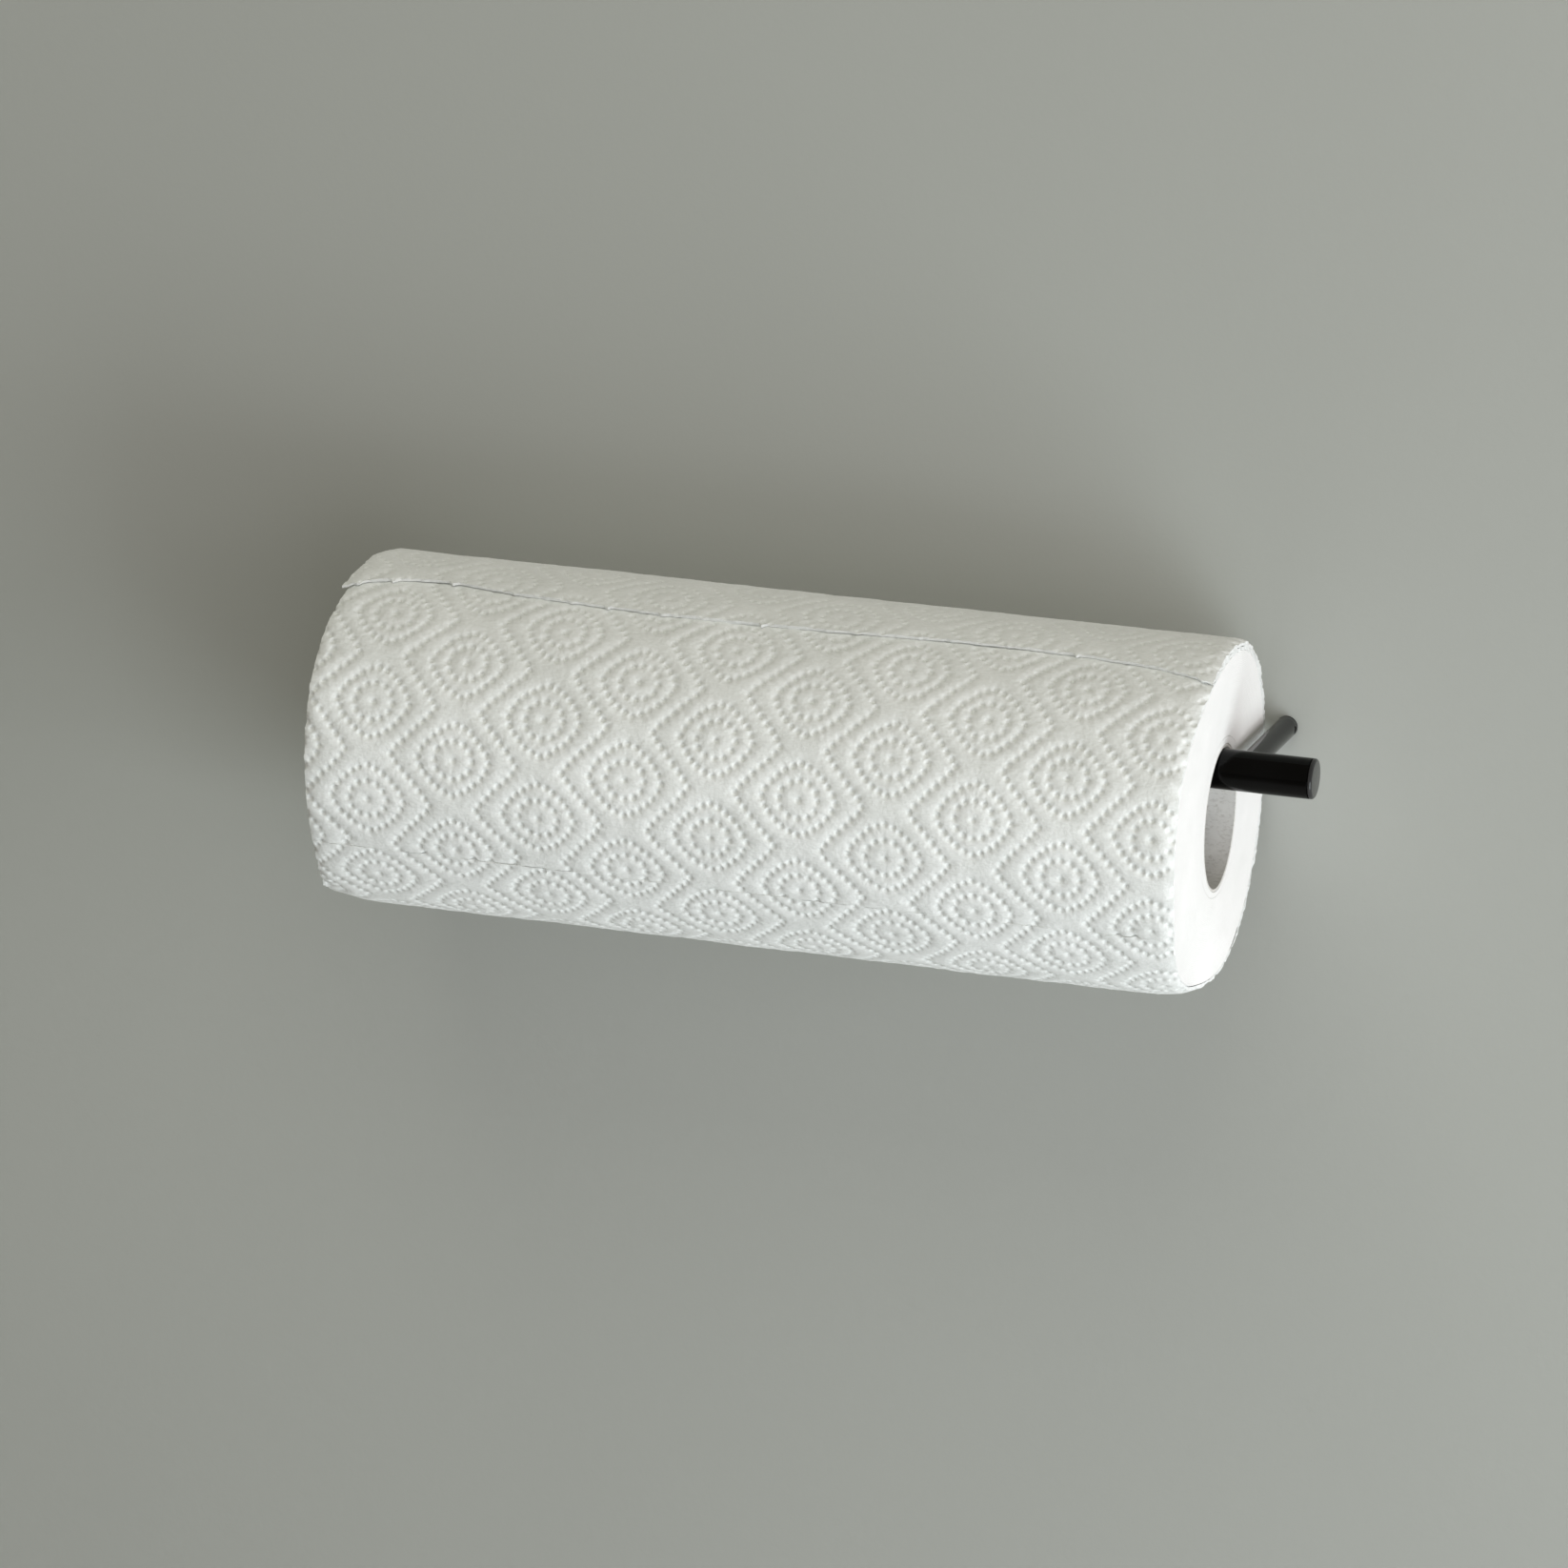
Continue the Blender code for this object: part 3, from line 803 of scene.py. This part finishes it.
def dots_in(low, high):
    """Centres of the dots with low < s < high: (x from the left end, s round the roll)."""
    motif = [(0, 0), *oval(0.0062, 0.0059, 2, 12), *oval(0.0117, 0.0112, 1.45, 24)]
    found = []
    for column in range(-1, 11):
        x = FIRST_COLUMN + column * COLUMN_PITCH
        start = FRONT_RADIUS * math.radians(ROW_ANGLES[column % 2])
        first_row = math.floor((low - start) / ROW_PITCH) - 1
        last_row = math.ceil((high - start) / ROW_PITCH) + 1
        for row in range(first_row, last_row + 1):
            s = start + row * ROW_PITCH
            found += [(x + a, s + b) for a, b in motif]
            for i in range(ZIGZAG_DOTS):
                wave = math.asin(0.985 * math.cos(2 * math.pi * i / ZIGZAG_DOTS)) / math.asin(0.985)
                found.append((x + COLUMN_PITCH / 2 + ZIGZAG * wave, s + i * ROW_PITCH / ZIGZAG_DOTS))
    margin = 2 * DOT_RADIUS
    return [(x, s) for x, s in found if -margin < x < ROLL_LENGTH + margin and low < s < high]


def triangulated(outline, inner):
    """Points and triangles of the inside of an outline, through the inner points."""
    scale = 1000
    points = [Vector(p) * scale for p in [*outline, *inner]]
    count = len(outline)
    edges = [(i, (i + 1) % count) for i in range(count)]
    made, _, faces, *_ = delaunay_2d_cdt(points, edges, [list(range(count))], 1, 1e-5)
    assert all((made[i] - points[i]).length < 1e-4 for i in range(count)), "the outline changed"
    return np.array([p / scale for p in made]), faces


def clear_inside(outline, points, margin):
    """The points that lie inside the outline, at least margin away from its corners."""
    tree = kdtree.KDTree(len(outline))
    for i, (x, s) in enumerate(outline):
        tree.insert((x, s, 0), i)
    tree.balance()
    corners = np.array(outline + outline[:1])
    kept = []
    for x, s in points:
        if tree.find((x, s, 0))[2] < margin:
            continue
        a, b = corners[:-1], corners[1:]
        crossing = (a[:, 1] > s) != (b[:, 1] > s)
        where = a[crossing, 0] + (s - a[crossing, 1]) * (b - a)[crossing, 0] / (b - a)[crossing, 1]
        if np.count_nonzero(where > x) % 2:
            kept.append((x, s))
    return kept


class Embossing:
    """Dots pressed into a stretch of towel, each a little different, and the towel's soft waves."""

    def __init__(self, low, high, shift, strength, seed):
        chance = random.Random(seed)
        self.shift, self.dots = shift, []
        for x, s in dots_in(low - shift, high - shift):
            place = (x + chance.gauss(0, 0.00009), s + shift + chance.gauss(0, 0.00009))
            self.dots.append((place, DOT_RADIUS * chance.uniform(0.88, 1.12),
                              chance.uniform(0.75, 1.12) * strength(x, s + shift)))
        self.tree = kdtree.KDTree(len(self.dots))
        for i, ((x, s), _, _) in enumerate(self.dots):
            self.tree.insert((x, s, 0), i)
        self.tree.balance()

    def rings(self, fine):
        """Mesh points for the dots: rings round each, more of them where fine(x, s) is true."""
        points = []
        for (x, s), radius, _ in self.dots:
            plan = ((0.36, 6), (0.70, 9), (1.04, 10)) if fine(x, s) else ((0.5, 5), (1.0, 7))
            points.append((x, s))
            for part, count in plan:
                points += [(x + part * radius * math.cos(2 * math.pi * (i + part) / count),
                            s + part * radius * math.sin(2 * math.pi * (i + part) / count))
                           for i in range(count)]
        return points

    def clear_of_dots(self, points):
        return [(x, s) for x, s in points
                if self.tree.find((x, s, 0))[2] > self.dots[self.tree.find((x, s, 0))[1]][1] * 1.45]

    def height(self, x, s):
        """How far the paper stands out at a place: below 0 inside a dot."""
        wave = (SOFT_WAVE * noise.noise((x * 70, s * 70, 1.7))
                + SHORT_WAVE * noise.noise((x * 210, s * 210, 4.2)))
        edge = math.exp(-min(x, ROLL_LENGTH - x) / 0.005)
        wave += RIM_WAVE * edge * noise.noise((x * 160, s * 190, 9.1))
        _, i, away = self.tree.find((x, s, 0))
        _, radius, strength = self.dots[i]
        inside = max(0.0, 1 - (away / radius) ** 2)
        hollow = max(0.0, 1 - (away / GROOVE_RADIUS) ** 2)
        return wave - strength * (DOT_DEPTH * inside ** 2 + GROOVE_DEPTH * hollow ** 2)


def jittered_grid(low, high, pitch, chance):
    """Background points over the roll's length, between two places round it."""
    points = []
    for i in range(1, int(ROLL_LENGTH / pitch)):
        for j in range(1, int((high - low) / pitch)):
            points.append((i * pitch + chance.uniform(-0.25, 0.25) * pitch,
                           low + j * pitch + chance.uniform(-0.25, 0.25) * pitch))
    return points


def edge_points(start, end, step):
    """Values from start up to end, without the end, about one step apart."""
    count = max(1, round(abs(end - start) / step))
    return [start + (end - start) * i / count for i in range(count)]


def rim_drift(s, side):
    """How far a towel's left (0) or right (1) edge strays along the roll at a place round it."""
    ragged = 0.0003 * noise.noise((s * 750, side * 5.0, 0.4))
    ragged += 0.0002 * noise.noise((s * 130, side * 3.0, 8.0))
    return ragged + float((left_drift, right_drift)[side](math.degrees(s / FRONT_RADIUS)))


def make_towel(name, first_edge, last_edge, outer_at, thickness, embossing, fine, corner, seed):
    """A towel as a thin closed shell wound on the roll.

    x runs along the roll from its left end, and s round it. first_edge(x) and last_edge(x) are
    the s of its two edges, outer_at(x, angle) is the radius of its outside before embossing,
    thickness(x, s) is its thickness, fine(x, s) says where its dots get the finer mesh, and
    corner(s) is how far its left edge stands out past the roll's.
    """
    chance = random.Random(seed)
    step = 0.0007
    right_low, right_high = first_edge(ROLL_LENGTH), last_edge(ROLL_LENGTH)
    left_low, left_high = first_edge(0), last_edge(0)

    def strayed(x, s):
        share = x / ROLL_LENGTH
        return x + (rim_drift(s, 0) - corner(s)) * (1 - share) + rim_drift(s, 1) * share, s

    outline = [strayed(x, first_edge(x)) for x in edge_points(0, ROLL_LENGTH, step)]
    outline += [strayed(ROLL_LENGTH, s) for s in edge_points(right_low, right_high, step)]
    outline += [strayed(x, last_edge(x)) for x in edge_points(ROLL_LENGTH, 0, step)]
    outline += [strayed(0, s) for s in edge_points(left_high, left_low, step)]

    low = min(s for _, s in outline)
    high = max(s for _, s in outline)
    pressed = clear_inside(outline, embossing.rings(fine), 0.00035)
    ground = embossing.clear_of_dots(jittered_grid(low, high, 0.0022, chance))
    ground = clear_inside(outline, ground, 0.0008)
    outer, outer_faces = triangulated(outline, pressed + ground)
    lining = clear_inside(outline, jittered_grid(low, high, 0.005, chance), 0.001)
    inner, inner_faces = triangulated(outline, lining)

    def placed(plane, relief, inward):
        x, s = plane[:, 0], plane[:, 1]
        angle = np.degrees(s / FRONT_RADIUS)
        to_rim = np.minimum(x - left_drift(angle), ROLL_LENGTH + right_drift(angle) - x)
        curl = CURL * np.clip(1 - to_rim / CURL_SPAN, 0, 1) ** 2
        return on_roll(ROLL_LEFT + x, outer_at(x, angle) + relief - inward - curl, angle)

    thick = [np.array([thickness(x, s) for x, s in plane]) for plane in (outer, inner)]
    relief = np.array([embossing.height(x, s) for x, s in outer])
    relief = np.maximum(relief, -DEEPEST * thick[0])
    points = np.concatenate([placed(outer, relief, 0), placed(inner, 0, thick[1])])
    base, count = len(outer), len(outline)
    faces = [tuple(face) for face in outer_faces]
    faces += [tuple(base + i for i in reversed(face)) for face in inner_faces]
    faces += [(i, (i + 1) % count, base + (i + 1) % count, base + i) for i in range(count)]
    mesh = bpy.data.meshes.new(name)
    mesh.from_pydata(points.tolist(), [], faces)
    data = bmesh.new()
    data.from_mesh(mesh)
    bmesh.ops.recalc_face_normals(data, faces=data.faces)
    data.to_mesh(mesh)
    data.free()
    return finish_object(name, mesh, [PAPER_FRONT], "paper", 62)


# ---------------------------------------------------------------- the two outermost towels
# The free edge, along the roll: how far it has lifted, and its angle.
TAIL_LIFT = curve_through([(0, 0.0002), (0.024, 0.00035), (0.060, 0.00025), (0.114, 0.0002), (0.160, 0.0002),
                           (0.204, 0.0003), (0.240, 0.00025), (0.279, 0.00015)])
TAIL_ANGLE = curve_through([(0, 64.4), (0.004, 66.4), (0.010, 68.7), (0.024, 71.7), (0.060, 69.2),
                            (0.114, 67.0), (0.160, 68.1), (0.204, 69.8), (0.240, 68.8),
                            (0.264, 66.4), (0.279, 62.7)])
TIP = 0.0016                  # how far its left corner stands out past the roll's end
TAIL_SPAN = 22.0              # degrees over which the free end leaves the roll
TAIL_PRESSED = 12.0           # and over which it thins towards its edge
NIB_HEIGHTS = (0.0001, 0.0002, 0.0003, 0.0006, 0.0013)
SLIT_WIDTHS = (0.0, 0.00001, 0.00004, 0.00009)
NEXT_FADE = 0.8               # share of their depth that the next towel's dots lose,
NEXT_FADE_SPAN = 2.5          # over this many degrees before the free edge
LAST_FADE = 0.45              # share that the last towel's dots lose near its free end


def place_round(angle):
    return FRONT_RADIUS * np.radians(angle)


def torn_edge(x):
    """The free edge: torn through its tabs, so it has a nib about every perforation pitch."""
    chance = random.Random(int(x / PERFORATION_PITCH) + 11)
    nib_at = (int(x / PERFORATION_PITCH) + chance.uniform(0.3, 0.7)) * PERFORATION_PITCH
    height = chance.choice(NIB_HEIGHTS)
    width = chance.uniform(0.0004, 0.0010)
    nib = height * math.exp(-((x - nib_at) / width) ** 2)
    frayed = 0.00022 * noise.noise((x * 900, 3.3, 0)) + 0.00025 * noise.noise((x * 130, 7.7, 0))
    return float(place_round(TAIL_ANGLE(x))) - nib + frayed


def slit_half(x):
    """Half the width of the perforation's slits: nothing at the tabs."""
    number = int(x / PERFORATION_PITCH)
    chance = random.Random(number + 501)
    part = x - number * PERFORATION_PITCH
    open_here = smooth_step(min(part, PERFORATION_PITCH - PERFORATION_TAB - part) / 0.0008)
    return 0.00001 + chance.choice(SLIT_WIDTHS) * float(open_here)


def perforation(x):
    return FRONT_RADIUS * math.radians(PERFORATION + 0.35 * math.sin(x * 23 + 1.0))


FULL_TURN = 2 * math.pi * FRONT_RADIUS


def next_outside(x, angle):
    return winding_radius(angle) + LOOSE + PAPER


def last_outside(x, angle):
    over = 1 - smooth_step((angle - NEXT_END - 2) / OVERLAP)
    left = 1 - np.clip((angle - TAIL_ANGLE(x)) / TAIL_SPAN, 0, 1)
    held = np.exp(-((ROLL_LENGTH - x) / 0.009) ** 2) + np.exp(-(x / 0.006) ** 2)
    sag = SAG * np.exp(-((angle - SAG_ANGLE) / 27) ** 2) * (1 - held)
    pressed = (LOOSE + PAPER - EDGE) * smooth_step(1 - (angle - TAIL_ANGLE(x)) / TAIL_PRESSED)
    return winding_radius(angle) + (LOOSE + PAPER) * (1 + over) + TAIL_LIFT(x) * left ** 2 + sag - pressed


def free_end_thickness(x, s):
    return EDGE + (PAPER - EDGE) * float(smooth_step((s - torn_edge(x)) / place_round(TAIL_PRESSED)))


def next_strength(x, s):
    """The next towel's dots fade where the last one presses on it."""
    past = math.degrees(s / FRONT_RADIUS) - TAIL_ANGLE(x) + NEXT_FADE_SPAN
    return 1 - NEXT_FADE * float(smooth_step(past / NEXT_FADE_SPAN))


def last_strength(x, s):
    """The last towel's dots are fainter towards its free end, which has been handled."""
    return 1 - LAST_FADE * float(smooth_step((place_round(135) - s) / 0.03))


def make_towels():
    """The towel that is next, and the last one, whose free end lies over it."""
    next_low, next_high = place_round(PERFORATION - 2), place_round(NEXT_END)
    dots_to = float(place_round(80))
    pressed = Embossing(next_low, dots_to, 0.0, next_strength, 21)
    next_towel = make_towel(
        "next_towel", lambda x: perforation(x) + slit_half(x), lambda x: float(next_high),
        next_outside, lambda x, s: PAPER, pressed, lambda x, s: True, lambda s: 0.0, 31)
    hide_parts("next_sheet")

    low, high = place_round(58), place_round(360 + PERFORATION + 2)
    pressed = Embossing(low, high, FULL_TURN, last_strength, 22)
    front_from, seen_to = float(place_round(270)), float(place_round(108))
    last_towel = make_towel(
        "last_towel", torn_edge, lambda x: FULL_TURN + perforation(x) - slit_half(x),
        last_outside, free_end_thickness, pressed, lambda x, s: s > front_from or s < seen_to,
        lambda s: TIP * math.exp(-((s - place_round(64)) / 0.008) ** 2), 32)
    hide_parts("last_sheet")


make_core()
make_winding()
make_towels()
